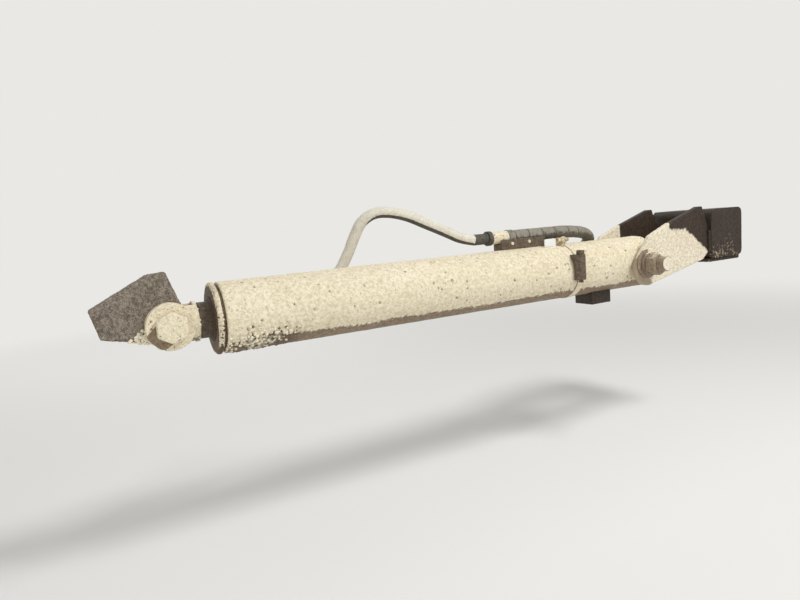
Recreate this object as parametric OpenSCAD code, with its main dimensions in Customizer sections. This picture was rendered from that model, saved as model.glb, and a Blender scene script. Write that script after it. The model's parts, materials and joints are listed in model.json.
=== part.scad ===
// Hydraulic lift cylinder for a swinging discharge chute, with the bracket that carries it.
// X runs along the cylinder, with the bracket's weld face at X = 0 and the rod end towards -X.
// Both pins lie along Y, and the near side of the photograph is -Y. Millimetres.

/* [Cylinder] */
// Bore of the barrel
bore_d = 88.9; // [76:0.1:102]
// Wall of the barrel tube
barrel_wall = 6.35; // [5:0.05:9]
// Diameter of the piston rod
rod_d = 50.8; // [44:0.1:60]
// Travel of the rod
stroke = 609.6; // [400:0.1:700]
// Bare rod between the clevis and the gland when shut
rod_bare = 18.6; // [10:0.1:40]

/* [Piston] */
// Length of the piston
piston_len = 64; // [50:1:90]
// Oil space left at each end of the travel
end_space = 6.5; // [3:0.5:15]
// Running clearance of the rod, the piston and the pins, on the radius
run_gap = 0.05; // [0.02:0.01:0.1]

/* [Barrel ends] */
// Length of the gland inside the tube
gland_insert = 61.5; // [45:0.5:80]
// Length of the gland's rim outside the tube
gland_rim = 7; // [6:0.1:14]
// Width of the groove between the rim and the tube
gland_groove = 4.5; // [2:0.5:6]
// Depth of that groove
groove_depth = 3.6; // [2:0.1:5]
// Solid base plug, from the pin towards the rod end
plug_front = 51; // [38:1:70]
// Solid base plug, from the pin towards the bracket's block
plug_back = 53; // [50:1:70]
// Round on the plug's outer edge
plug_round = 9; // [4:1:14]

/* [Pins] */
// Diameter of both pin bolts
pin_d = 25.4; // [22:0.1:32]
// Width across the flats of the bolt heads and nuts
hex_af = 38.1; // [36:0.1:50]
// Height of a bolt head
head_h = 16; // [12:0.5:20]
// Height of a nut
nut_h = 22; // [18:0.5:28]
// Outside diameter of a washer
washer_d = 57; // [52:1:66]
// Thickness of a washer
washer_t = 3.4; // [2:0.1:5]
// Outside diameter of the split lock washer under the base nut
lock_d = 42; // [39:1:46]
// Thickness of the lock washer
lock_t = 6.3; // [4:0.1:8]
// Thread that stands out of the base nut
base_thread_out = 15; // [6:1:30]

/* [Base bracket] */
// Plate thickness of an ear
ear_t = 9.5; // [8:0.1:20]
// Gap between the barrel and each ear
ear_gap = 5.4; // [1:0.1:8]
// Radius of an ear's round nose
ear_r = 34; // [32:1:42]
// Centre of that nose behind the pin
ear_back = 4; // [0:1:6]
// Centre of that nose below the pin
ear_drop = 9; // [0:1:10]
// Length of an ear, from the pin to the block
ear_len = 188; // [160:1:240]
// Height of an ear above the pin at its front corner
ear_top = 52; // [46:1:60]
// Slope of an ear's upper edge, degrees
ear_top_slope = 17.4; // [12:0.1:20]
// Slope of an ear's lower edge, degrees
ear_low_slope = 12; // [8:0.1:14]
// Side of the square block
block_side = 101.6; // [90:0.1:120]
// Wall of the square block
block_wall = 9.5; // [6:0.5:14]
// Round on the block's long edges
block_round = 12; // [10:1:18]
// Height of the block's underside against the pin
block_low = -8; // [-20:1:0]
// Thickness of the block's end caps
cap_t = 6; // [4:0.5:10]
// Thickness of the foot plate under the block
foot_t = 8; // [6:0.5:14]
// Leg of the fillet welds
weld_leg = 7; // [5:0.5:10]

/* [Rod end] */
// Diameter of the clevis round its bolt
clevis_d = 63.5; // [58:0.5:76]
// Thickness of the chute lug between the clevis arms
lug_t = 25.4; // [19:0.1:32]
// Gap between the lug and each arm
lug_gap = 0.8; // [0.5:0.1:2]
// Thickness of a clevis arm
arm_t = 16; // [12:0.5:22]
// Depth of the clevis slot behind the bolt
slot_depth = 32; // [31:1:34]
// Radius of the clevis's round neck
neck_r = 28.5; // [27:0.5:29]
// Length of the clevis from its bolt to the bare rod
clevis_len = 38; // [38:1:60]

/* [Chute lug] */
// Radius of the lug round the bolt
lug_r = 26; // [24:0.5:26]
// Height of the lug's front corner above the bolt
lug_top = 71.5; // [66:0.5:90]
// Length of the lug's weld edge
lug_weld = 82; // [70:1:90]
// Slope of the weld edge, degrees
lug_slope = 27.8; // [22:0.1:32]

/* [Transfer hose] */
// Outside diameter of the hose
hose_d = 18.5; // [16:0.5:20]
// Outside diameter of the sleeve on the hose
sleeve_d = 23; // [21:0.5:24]
// Distance of the rod side port behind the gland's outer face
rod_port_back = 58; // [50:1:64]
// Width across the flats of the hose fittings
fitting_af = 24; // [22:1:26]
// Distance of the base side port block from the base pin
base_port_at = 79; // [76:1:84]
// Length of the saddle strip that carries the hose on the barrel
saddle_len = 102; // [70:1:120]

/* [Clamp] */
// Distance of the band clamp from the base pin
clamp_at = 157; // [136:1:171]
// Width of the band
band_w = 14; // [10:0.5:18]
// Thickness of the band
band_t = 1.6; // [1:0.1:3]

/* [Hidden] */
$fn = 96;
seat_gap = 0.1;
barrel_r = bore_d / 2 + barrel_wall;
rod_r = rod_d / 2;
pin_r = pin_d / 2;
bore_r = pin_r + run_gap;
// Distances from the base pin along the cylinder
tube_end = plug_front + end_space + piston_len + stroke + end_space + gland_insert;
gland_face = tube_end + gland_groove + gland_rim;
rod_pin_at = gland_face + rod_bare + clevis_len;
piston_at = plug_front + end_space;
// Places across the cylinder
ear_in = barrel_r + ear_gap;
ear_out = ear_in + ear_t;
washer_out = ear_out + washer_t;
lock_out = washer_out + lock_t;
arm_in = lug_t / 2 + lug_gap;
arm_out = arm_in + arm_t;
// The base pin in the bracket's frame
base_pin = [-(ear_len + block_side), 0, -(block_low + block_side / 2)];

// Round bars along each axis
module bar_x(from, to, r) { translate([from, 0, 0]) rotate([0, 90, 0]) cylinder(h = to - from, r = r); }
module bar_y(from, to, r) { translate([0, from, 0]) rotate([-90, 0, 0]) cylinder(h = to - from, r = r); }
// Hexagon with its corners turned off at 30 degrees on both ends, standing on Z = 0
module hexagon(af, h) {
  corner = af / sqrt(3);
  face = af * 0.475;
  fall = (corner - face) * tan(30);
  intersection() {
    cylinder(h = h, r = corner, $fn = 6);
    rotate_extrude() polygon([
      [0, 0], [face, 0], [corner, fall], [corner, h - fall], [face, h], [0, h]
    ]);
  }
}
// Hexagon along Y with a flat towards each end of the cylinder
module hex_y(from, to) {
  translate([0, from, 0]) rotate([-90, 0, 0]) rotate([0, 0, 30]) hexagon(hex_af, to - from);
}
// A profile drawn in X and Z, as a plate from one Y to another
module plate_y(from, to) { translate([0, to, 0]) rotate([90, 0, 0]) linear_extrude(to - from) children(); }
module at_base_pin() { translate(base_pin) children(); }
module at_rod_pin() { at_base_pin() translate([-rod_pin_at, 0, 0]) children(); }
// A revolved piece along X, drawn as [distance from the base pin, radius] points
module turned(points) {
  at_base_pin() rotate([0, -90, 0]) rotate_extrude() polygon([for (p = points) [p[1], p[0]]]);
}

// Edges aim just inside a round nose, so that they cross its arc cleanly
nose_bite = 0.3;
// Point where a line from p touches a circle of radius r round the origin, on one side of it
function touch(p, r, side) =
  let (a = atan2(p[1], p[0]) + side * acos(r / norm(p))) r * [cos(a), sin(a)];

// Ear: a round nose at the pin, two upper edges, a lower one and clipped corners at the block
ear_corner = 10;
ear_shoulder = [63, 20.3];
ear_flat = 15;
ear_clip = [20, 50];
ear_low_clip = [19, 16];
ear_rise = tan(ear_top_slope);
ear_fall = tan(ear_low_slope);
module ear_profile() {
  round = [ear_back, -ear_drop];
  front = [ear_corner, ear_top];
  high = ear_top + ear_shoulder[1] + (ear_len - ear_clip[0] - ear_flat - ear_shoulder[0]) * ear_rise;
  low_touch = (ear_r - nose_bite) * [sin(ear_low_slope), -cos(ear_low_slope)] + round;
  low = low_touch[1] + (ear_len - ear_low_clip[0] - low_touch[0]) * ear_fall;
  polygon([
    round, round + touch(front - round, ear_r - nose_bite, 1), front,
    [ear_shoulder[0], ear_top + ear_shoulder[1]], [ear_len - ear_clip[0] - ear_flat, high],
    [ear_len - ear_clip[0], high], [ear_len, high - ear_clip[1]],
    [ear_len, low + ear_low_clip[1]], [ear_len - ear_low_clip[0], low], low_touch
  ]);
}
module bracket_ear(y) {
  at_base_pin() difference() {
    union() {
      plate_y(y, y + ear_t) ear_profile();
      translate([ear_back, 0, -ear_drop]) bar_y(y, y + ear_t, ear_r);
      weld_side = y < 0 ? 1 : -1;
      ear_weld(weld_side * -ear_in, weld_side);
    }
    bar_y(y - 1, y + ear_t + 1, bore_r);
  }
}
// Fillet weld in the corner between an ear's inner face and the block
ear_weld_from = block_low + block_round + 4;
ear_weld_to = block_low + block_side * 0.57;
module ear_weld(y, side) {
  translate([ear_len, y, ear_weld_from]) linear_extrude(ear_weld_to - ear_weld_from)
    polygon([[0, 0], [-weld_leg, 0], [0, side * weld_leg]]);
}
module bracket_ear_near() { color("#b9ac90") bracket_ear(-ear_out); }
module bracket_ear_far() { color("#b9ac90") bracket_ear(ear_in); }

// Block: a square tube along Y, closed by a cap at each end
module round_square(side, r) {
  square([side, side - 2 * r], center = true);
  square([side - 2 * r, side], center = true);
  for (x = [-1, 1], y = [-1, 1]) translate([x, y] * (side / 2 - r)) circle(r = r);
}
module bracket_block() {
  inner = block_side - 2 * block_wall;
  color("#a89a7e") translate([-block_side / 2, 0, 0]) plate_y(-ear_out, ear_out) difference() {
    round_square(block_side, block_round);
    round_square(inner, max(block_round - block_wall, 1));
  }
}
module block_cap(y) {
  color("#a89a7e") translate([-block_side / 2, 0, 0])
    plate_y(y, y + cap_t) round_square(block_side, block_round);
}
module block_cap_near() { block_cap(-ear_out - cap_t); }
module block_cap_far() { block_cap(ear_out); }
module bracket_foot() {
  color("#8f836d") translate([-block_side, -ear_out, -block_side / 2 - foot_t])
    cube([block_side, 2 * ear_out, foot_t]);
}

// Base pin: bolt head on the far side, nut and thread on the near side
module washer(y) {
  difference() {
    bar_y(y, y + washer_t, washer_d / 2);
    bar_y(y - 1, y + washer_t + 1, pin_r + run_gap);
  }
}
module base_bolt() {
  color("#9a8a72") at_base_pin() {
    bar_y(-lock_out - nut_h - base_thread_out, washer_out + head_h / 2, pin_r);
    hex_y(washer_out, washer_out + head_h);
  }
}
module base_nut() {
  color("#a08c6e") at_base_pin() difference() {
    hex_y(-lock_out - nut_h, -lock_out);
    bar_y(-lock_out - nut_h - 1, -lock_out + 1, bore_r);
  }
}
module base_washer_near() { color("#a08c6e") at_base_pin() washer(-washer_out); }
module base_lock_washer() {
  split = 3;
  color("#a08c6e") at_base_pin() difference() {
    bar_y(-lock_out, -washer_out, lock_d / 2);
    bar_y(-lock_out - 1, -washer_out + 1, bore_r);
    rotate([0, -50, 0]) translate([0, -lock_out - 1, -split / 2]) cube([lock_d, lock_t + 2, split]);
  }
}
module base_washer_far() { color("#a08c6e") at_base_pin() washer(ear_out); }

// Barrel: tube, cross-bored base plug and gland
tube_chamfer = 1.6;
module barrel_tube() {
  color("#e4dab9") turned([
    [plug_front, bore_d / 2], [plug_front, barrel_r], [tube_end - tube_chamfer, barrel_r],
    [tube_end, barrel_r - tube_chamfer], [tube_end, bore_d / 2]
  ]);
}
bush_r = pin_r + 3.2;
bush_half = sqrt(pow(barrel_r, 2) - pow(bush_r, 2)) - 0.5;
module base_plug() {
  spigot = 12;
  color("#e4dab9") difference() {
    turned([
      [-plug_back, 0], [-plug_back, barrel_r - plug_round],
      for (a = [15:15:75]) [-plug_back + plug_round * (1 - cos(a)), barrel_r - plug_round * (1 - sin(a))],
      [plug_round - plug_back, barrel_r], [plug_front, barrel_r], [plug_front, 0]
    ]);
    at_base_pin() bar_y(-barrel_r - 1, barrel_r + 1, bush_r);
  }
}
module base_bushing() {
  color("#b08d57") at_base_pin() difference() {
    bar_y(-bush_half, bush_half, bush_r - seat_gap);
    bar_y(-bush_half - 1, bush_half + 1, bore_r);
  }
}
wiper_depth = 6;
// Rounded shoulder of the rim, along the axis and across it
gland_round = [4, 7.2];
wiper_r = rod_r + 6;
module gland() {
  inner = rod_r + run_gap;
  color("#d8cdab") turned([
    [tube_end - gland_insert, inner], [tube_end - gland_insert, bore_d / 2 - seat_gap],
    [tube_end, bore_d / 2 - seat_gap], [tube_end, barrel_r - groove_depth],
    [tube_end + gland_groove, barrel_r - groove_depth], [tube_end + gland_groove, barrel_r],
    for (a = [0:15:90]) [
      gland_face - gland_round[0] * (1 - sin(a)), barrel_r - gland_round[1] * (1 - cos(a))
    ],
    [gland_face, wiper_r], [gland_face - wiper_depth, wiper_r], [gland_face - wiper_depth, inner]
  ]);
}
module rod_wiper() {
  color("#3a332b") turned([
    [gland_face - wiper_depth, rod_r + 0.3], [gland_face - wiper_depth, wiper_r - seat_gap],
    [gland_face + 1, wiper_r - seat_gap], [gland_face + 2.5, rod_r + 2], [gland_face + 2.5, rod_r + 0.3]
  ]);
}

// Rod side port on the far side: a boss, an elbow that turns to the base, and the hose's ferrule
boss_r = 14;
boss_out = barrel_r + 9;
fitting_hex = 8;
elbow_r = 8;
elbow_bend = 16;
ferrule_r = 12;
ferrule_len = 42;
hose_y = boss_out + fitting_hex + elbow_bend;
module rod_port() {
  color("#cfc3a1") at_base_pin() difference() {
    translate([-rod_port_at, 0, 0]) bar_y(0, boss_out, boss_r);
    bar_x(-rod_port_at - 2 * boss_r, -rod_port_at + 2 * boss_r, barrel_r);
  }
}
rod_port_at = gland_face - rod_port_back;
module elbow(bend, r) { rotate_extrude(angle = 90) translate([bend, 0]) circle(r = r); }
// Swivel nut and crimped shell of a hose end, drawn up from Z = 0
module hose_end(len) {
  nut = 11;
  groove = 0.8;
  hexagon(fitting_af, nut);
  rotate_extrude() polygon([
    [0, nut], [ferrule_r - 3, nut], [ferrule_r - 3, nut + 1.5], [ferrule_r, nut + 3],
    for (z = [nut + 5:4:len - 5]) each [
      [ferrule_r, z], [ferrule_r - groove, z + 0.8], [ferrule_r - groove, z + 1.6], [ferrule_r, z + 2.4]
    ],
    [ferrule_r, len - 1.5], [ferrule_r - 1.5, len], [0, len]
  ]);
}
module rod_port_elbow() {
  color("#cfc3a1") at_base_pin() translate([-rod_port_at, boss_out, 0]) {
    rotate([-90, 0, 0]) hexagon(fitting_af, fitting_hex);
    translate([elbow_bend, fitting_hex, 0]) rotate([0, 0, 90]) elbow(elbow_bend, elbow_r);
  }
}
module rod_port_ferrule() {
  color("#cfc3a1") at_base_pin() translate([-rod_port_at + elbow_bend, hose_y, 0])
    rotate([0, 90, 0]) hose_end(ferrule_len);
}

// Base side port block under the barrel: two threaded ports look down, the hose's elbow leaves far side
port_block = [50, 44, 21];
port_pitch = 25;
port_hole_r = 6.45;
port_hole_depth = 14;
port_z = -barrel_r - port_block[2] / 2 + 1;
base_hose_y = 66;
base_hose_at = base_port_at - 14;
module base_port() {
  low = port_z - port_block[2] / 2;
  color("#b5a88a") at_base_pin() difference() {
    translate([-base_port_at - port_block[0] / 2, -port_block[1] / 2, low])
      cube([port_block[0], port_block[1], port_block[2] + 12]);
    bar_x(-base_port_at - port_block[0], -base_port_at + port_block[0], barrel_r);
    for (side = [-0.5, 0.5]) translate([-base_port_at + side * port_pitch, 0, low - 1])
      cylinder(h = port_hole_depth + 1, r = port_hole_r);
  }
}
base_bend = 24;
base_ferrule_z = port_z + base_bend;
base_ferrule_len = 34;
module base_port_elbow() {
  color("#b5a88a") at_base_pin() translate([-base_hose_at, 0, port_z]) {
    translate([0, port_block[1] / 2, 0]) rotate([-90, 0, 0]) hexagon(fitting_af * 0.84, fitting_hex);
    bar_y(port_block[1] / 2 + fitting_hex, base_hose_y - base_bend, elbow_r);
    translate([0, base_hose_y - base_bend, base_bend]) rotate([0, 90, 0]) elbow(base_bend, elbow_r);
  }
}
module base_port_ferrule() {
  color("#b5a88a") at_base_pin() translate([-base_hose_at, base_hose_y, base_ferrule_z])
    hose_end(base_ferrule_len);
}

// Transfer hose: points from the rod side ferrule, over the barrel, to the cuff
run_y = 10;
run_z = 73.5;
cuff_at = 351;
ring_at = 322;
ring_r = 13;
coupling_at = 314;
coupling_r = 10.8;
collar_at = 278;
collar_r = 12.5;
sleeve_at = 264;
hose_route = [
  [-rod_port_at + elbow_bend + ferrule_len, hose_y, 0], [-661, 83, 1], [-616, 81, 13], [-583, 77, 38],
  [-565, 70, 68], [-555, 63, 93], [-543, 54, 118], [-524, 45, 131], [-500, 37, 132],
  [-469, 30, 124], [-438, 22, 109], [-405, 15, 93], [-378, 11, 80], [-cuff_at, run_y, run_z]
];
sleeve_route = [
  [-sleeve_at, run_y, run_z], [-226, run_y, run_z], [-186, run_y, run_z], [-146, run_y, run_z],
  [-118, 15, 72], [-92, 23, 70], [-66, 32, 66], [-45, 41, 59], [-37, 48, 49], [-42, 56, 35], [-53, 61, 19],
  [-base_hose_at, base_hose_y, base_ferrule_z + base_ferrule_len]
];
function mid(a, b, c, d, t) = 0.5 * (2 * b + (c - a) * t + (2 * a - 5 * b + 4 * c - d) * t * t
  + (3 * b - a - 3 * c + d) * t * t * t);
function curve(p, n) = let (last = len(p) - 1) [
  for (i = [0:last - 1], k = [0:n - 1])
    mid(p[max(i - 1, 0)], p[i], p[i + 1], p[min(i + 2, last)], k / n),
  p[last]
];
function unit(v) = v / norm(v);
module swept(points, r, first, final, sides = 12) {
  last = len(points) - 1;
  rings = [for (i = [0:last]) let (
    t = i == 0 ? first : i == last ? final : unit(points[i + 1] - points[i - 1]),
    u = unit(cross(t, [0, 1, 0])),
    v = cross(u, t)
  ) [for (k = [0:sides - 1]) points[i] + r * (cos(360 * k / sides) * u + sin(360 * k / sides) * v)]];
  polyhedron(
    [for (ring = rings) each ring],
    [
      [for (k = [0:sides - 1]) k],
      [for (k = [sides - 1:-1:0]) last * sides + k],
      for (i = [0:last - 1], k = [0:sides - 1]) let (
        a = i * sides + k, b = i * sides + (k + 1) % sides
      ) each [[a, a + sides, b], [b, a + sides, b + sides]]
    ]
  );
}
module transfer_hose() {
  color("#cfc5a6") at_base_pin() swept(curve(hose_route, 2), hose_d / 2, [1, 0, 0], [1, 0, 0]);
}
module on_run(from, to, r) { at_base_pin() translate([0, run_y, run_z]) bar_x(-from, -to, r); }
module hose_cuff() { color("#2b2a26") on_run(cuff_at, ring_at, hose_d / 2 + 0.3); }
module hose_ring() { color("#33302a") on_run(ring_at, coupling_at, ring_r); }
module hose_coupling() { color("#d9cfb0") on_run(coupling_at, collar_at, coupling_r); }
module hose_collar() { color("#6f6a5c") on_run(collar_at, sleeve_at, collar_r); }
module hose_sleeve() {
  color("#6c6759") at_base_pin() swept(curve(sleeve_route, 2), sleeve_d / 2, [1, 0, 0], [0, 0, -1]);
}

// Saddle strip that carries the hose on the barrel
saddle_from = 298;
saddle_w = 24;
module hose_saddle() {
  low = barrel_r * 0.6;
  color("#4c463b") at_base_pin() difference() {
    translate([-saddle_from, run_y - saddle_w / 2, low]) cube([saddle_len, saddle_w, run_z - low - 3]);
    bar_x(-saddle_from - 1, -saddle_from + saddle_len + 1, barrel_r);
    translate([0, run_y, run_z]) bar_x(-saddle_from - 1, -saddle_from + saddle_len + 1, collar_r + seat_gap);
  }
}

// Band clamp round the barrel, with its worm housing on the near side
housing = [22, 12, 46];
module band_clamp() {
  color("#cfc4a3") at_base_pin() difference() {
    bar_x(-clamp_at - band_w / 2, -clamp_at + band_w / 2, barrel_r + band_t);
    bar_x(-clamp_at - band_w, -clamp_at + band_w, barrel_r + seat_gap);
  }
}
housing_y = -barrel_r - band_t - seat_gap;
screw_r = 4;
screw_y = housing_y - screw_r - 1;
housing_up = 9;
housing_shift = 8;
housing_at = clamp_at + housing_shift;
screw_tail = 5;
screw_head = [13, 8];
module clamp_housing() {
  side = housing[0] / 2;
  root = -barrel_r * 0.8;
  out = housing_y - housing[1];
  color("#8c8069") at_base_pin() translate([-housing_at, 0, 0]) difference() {
    translate([0, 0, housing_up - housing[2] / 2]) linear_extrude(housing[2]) polygon([
      [-side, root], [-side, screw_y], [-side / 2, out], [side / 2, out], [side, screw_y], [side, root]
    ]);
    bar_x(-housing[0], housing[0], barrel_r + band_t + seat_gap);
    translate([0, screw_y, -housing[2]]) cylinder(h = 2 * housing[2], r = screw_r);
  }
}
module clamp_screw() {
  top = housing_up + housing[2] / 2;
  color("#8c8069") at_base_pin() translate([-housing_at, screw_y, 0]) {
    translate([0, 0, top - housing[2] - screw_tail])
      cylinder(h = housing[2] + screw_tail, r = screw_r - seat_gap);
    translate([0, 0, top]) hexagon(screw_head[0], screw_head[1]);
  }
}

// Bleed fitting and blank tag on top of the barrel
fitting_at = 170;
fitting_y = -14;
fitting_z = barrel_r + 8;
fitting_body = [14, 5];
fitting_nut = [12, 8];
fitting_stem_r = 6;
module bleed_fitting() {
  low = barrel_r * 0.8;
  back = fitting_nut[0];
  color("#b58e45") at_base_pin() difference() {
    translate([-fitting_at, fitting_y, 0]) {
      translate([0, 0, low]) cylinder(h = fitting_z - low - 3, r = fitting_stem_r);
      translate([0, 0, fitting_z]) rotate([0, 90, 0]) {
        translate([0, 0, -back]) cylinder(h = fitting_body[0], r = fitting_body[1]);
        translate([0, 0, fitting_body[0] - back]) hexagon(fitting_nut[0], fitting_nut[1]);
        translate([0, 0, fitting_nut[1]]) cylinder(h = fitting_nut[1] + 2, r1 = 4.4, r2 = 3);
      }
    }
    bar_x(-fitting_at - 2 * back, -fitting_at + 2 * back, barrel_r);
  }
}
tag = [27, 3, 15];
module blank_tag() {
  from = -fitting_at - fitting_nut[0] - tag[0];
  color("#eeeae0") at_base_pin() difference() {
    translate([from, fitting_y - 1, barrel_r * 0.8]) cube([tag[0], tag[1], tag[2] + barrel_r * 0.2 - 3]);
    bar_x(from - 1, from + tag[0] + 1, barrel_r);
  }
}

// Rod, piston and clevis
module piston_rod() {
  color("#6a6258") turned([
    [piston_at, 0], [piston_at, rod_r], [gland_face + rod_bare, rod_r], [gland_face + rod_bare, 0]
  ]);
}
module piston() {
  color("#8a8a86") turned([
    [piston_at, rod_r + seat_gap], [piston_at, bore_d / 2 - run_gap],
    [piston_at + piston_len, bore_d / 2 - run_gap], [piston_at + piston_len, rod_r + seat_gap]
  ]);
}
// Round neck between the clevis arms and the rod, with an easing at its end
neck_ease = 8;
module clevis_neck() {
  rotate([0, 90, 0]) rotate_extrude() polygon([
    [0, 0], [neck_r, 0],
    for (a = [0:15:90]) [
      rod_r + (neck_r - rod_r) * cos(a), clevis_len - neck_ease * (1 - sin(a))
    ],
    [0, clevis_len]
  ]);
}
module rod_clevis() {
  color("#ddd4b6") at_rod_pin() difference() {
    union() {
      bar_y(-arm_out, arm_out, clevis_d / 2);
      clevis_neck();
    }
    translate([-clevis_d, -arm_in, -clevis_d]) cube([clevis_d + slot_depth, 2 * arm_in, 2 * clevis_d]);
    bar_y(-arm_out - 1, arm_out + 1, bore_r);
  }
}
module clevis_bolt() {
  color("#d6ccae") at_rod_pin() {
    bar_y(-arm_out - head_h / 2, arm_out + washer_t + nut_h + 4, pin_r);
    hex_y(-arm_out - head_h, -arm_out);
  }
}
module clevis_washer() { color("#b5a88a") at_rod_pin() translate([0, arm_out, 0]) washer(0); }
module clevis_nut() {
  color("#b5a88a") at_rod_pin() difference() {
    hex_y(arm_out + washer_t, arm_out + washer_t + nut_h);
    bar_y(arm_out, arm_out + washer_t + nut_h + 1, pin_r + run_gap);
  }
}

// Chute lug: a plate with a round nose at the bolt, a short crown and a sloping weld edge
lug_front = 2.3;
lug_crown = [-23, -2];
lug_heel = [9, -38];
module lug_profile() {
  front = [lug_front, lug_top];
  crown = front + lug_crown;
  back = crown - lug_weld * [cos(lug_slope), sin(lug_slope)];
  heel = back + lug_heel;
  r = lug_r - nose_bite;
  polygon([[0, 0], touch(front, r, -1), front, crown, back, heel, touch(heel, r, 1)]);
}
module chute_lug() {
  color("#8f8470") at_rod_pin() difference() {
    union() {
      plate_y(-lug_t / 2, lug_t / 2) lug_profile();
      bar_y(-lug_t / 2, lug_t / 2, lug_r);
    }
    bar_y(-lug_t, lug_t, bore_r);
  }
}

bracket_ear_near();
bracket_ear_far();
bracket_block();
block_cap_near();
block_cap_far();
bracket_foot();
base_bolt();
base_nut();
base_washer_near();
base_lock_washer();
base_washer_far();
barrel_tube();
base_plug();
base_bushing();
gland();
rod_wiper();
rod_port();
rod_port_elbow();
rod_port_ferrule();
transfer_hose();
hose_cuff();
hose_ring();
hose_coupling();
hose_collar();
hose_sleeve();
base_port_ferrule();
base_port_elbow();
hose_saddle();
base_port();
band_clamp();
clamp_housing();
clamp_screw();
bleed_fitting();
blank_tag();
piston_rod();
piston();
rod_clevis();
clevis_bolt();
clevis_nut();
clevis_washer();
chute_lug();
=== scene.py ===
# %% [markdown]
# # A chute lift cylinder, caked with cement
# This script dresses one part: the hydraulic cylinder that lifts a chute, with the bracket that carries it.
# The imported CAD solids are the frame: they give every size and place, and nothing here moves them.
# Each finished piece rides on its CAD body, so the cylinder still extends and swings.

# %% Load the frame
import json
import math
from functools import partial

import bmesh
import bpy
import numpy as np
from mathutils import Matrix, Vector


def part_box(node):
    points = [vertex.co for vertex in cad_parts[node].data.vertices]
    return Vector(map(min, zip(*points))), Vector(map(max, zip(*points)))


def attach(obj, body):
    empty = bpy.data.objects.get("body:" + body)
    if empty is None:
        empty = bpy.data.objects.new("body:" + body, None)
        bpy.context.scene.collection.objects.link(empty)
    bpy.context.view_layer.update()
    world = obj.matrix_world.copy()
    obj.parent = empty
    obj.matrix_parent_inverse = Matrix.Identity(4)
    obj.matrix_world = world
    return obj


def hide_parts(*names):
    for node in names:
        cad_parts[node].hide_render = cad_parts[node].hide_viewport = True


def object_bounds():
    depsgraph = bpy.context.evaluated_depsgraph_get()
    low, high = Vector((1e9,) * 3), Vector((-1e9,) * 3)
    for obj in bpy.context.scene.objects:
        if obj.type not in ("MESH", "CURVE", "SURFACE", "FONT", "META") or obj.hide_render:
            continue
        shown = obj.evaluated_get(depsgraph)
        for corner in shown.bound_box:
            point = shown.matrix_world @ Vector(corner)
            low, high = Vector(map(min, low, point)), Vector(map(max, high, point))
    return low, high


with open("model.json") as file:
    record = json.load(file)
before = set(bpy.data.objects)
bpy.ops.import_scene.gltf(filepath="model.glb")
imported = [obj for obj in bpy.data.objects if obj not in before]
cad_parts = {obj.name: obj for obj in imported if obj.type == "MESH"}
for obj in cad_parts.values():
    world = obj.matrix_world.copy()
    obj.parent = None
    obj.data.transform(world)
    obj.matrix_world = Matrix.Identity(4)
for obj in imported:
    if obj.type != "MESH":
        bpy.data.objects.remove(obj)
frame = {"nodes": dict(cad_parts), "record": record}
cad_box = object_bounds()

MM = 0.001
print("CAD box", [tuple(round(value, 3) for value in corner) for corner in cad_box])

# %% [markdown]
# ## Places that the pieces share
# The cylinder lies along X with its rod end towards minus X, and both pins lie along Y.
# Reading the boxes of a few CAD nodes gives the pins, the barrel's radius and its ends.
# Typing the numbers again would work too, but they would go stale as soon as the CAD changes.

# %% Pins, barrel and gland


def centre_of(node_name):
    lowest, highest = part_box(node_name)
    return (lowest + highest) / 2


base_pin = Vector((centre_of("base_nut").x, 0, centre_of("base_nut").z))
rod_pin = Vector((centre_of("clevis_nut").x, 0, centre_of("clevis_nut").z))
barrel_low, barrel_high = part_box("barrel_tube")
barrel_r = (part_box("gland")[1].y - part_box("gland")[0].y) / 2
bore_r = barrel_r - 6.1 * MM  # a touch wider than the bore, so that the piston's facets never poke through
tube_end_x = barrel_low.x
gland_face_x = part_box("gland")[0].x
axis_z = base_pin.z
record = frame["record"]
slot_of = {part["node"]: part["material_slot"] for part in record["subparts"]}
body_of = {node: body for body, nodes in record["behaviour"]["bodies"].items() for node in nodes}
print("base pin", tuple(base_pin), "rod pin", tuple(rod_pin), "barrel radius", round(barrel_r, 4))

# %% [markdown]
# ## Camera
# The camera stands beside the cylinder, about 1.3 m from its base pin, and looks almost level.
# Its place and its turn are stated from the base pin, because that pin is easy to find in a picture.
# Its right and up directions are given, and the third axis, backwards, is square to both.

# %% Camera
EYE_FROM_BASE_PIN = Vector((-0.967, -0.861, 0.110))
CAMERA_RIGHT = Vector((0.8762, -0.4760, -0.0764))
CAMERA_UP = Vector((0.1259, 0.0729, 0.9895))
FOCAL_SHARE = 601 / 800  # focal length as a share of the picture's width

lens_data = bpy.data.cameras.new("photo_camera")
lens_data.sensor_fit = "HORIZONTAL"
lens_data.sensor_width = 36
lens_data.lens = FOCAL_SHARE * lens_data.sensor_width
lens_data.clip_start = 0.01
camera = bpy.data.objects.new("photo_camera", lens_data)
bpy.context.scene.collection.objects.link(camera)
camera_right = CAMERA_RIGHT.normalized()
camera_back = camera_right.cross(CAMERA_UP).normalized()
turn = Matrix((camera_right, camera_back.cross(camera_right), camera_back)).transposed()
camera.matrix_world = Matrix.Translation(base_pin + EYE_FROM_BASE_PIN) @ turn.to_4x4()
bpy.context.scene.camera = camera
bpy.context.scene.view_settings.view_transform = "Standard"
print("camera at", tuple(round(value, 3) for value in camera.location), "lens", round(lens_data.lens, 2))

# %% [markdown]
# ## One function for every node
# Materials and Geometry Nodes are both trees of nodes with settings and links.
# One small function adds a node, sets what is a setting, and links what is another node's output.
# That keeps each finish short enough to read as a recipe.

# %% Add a node


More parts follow.
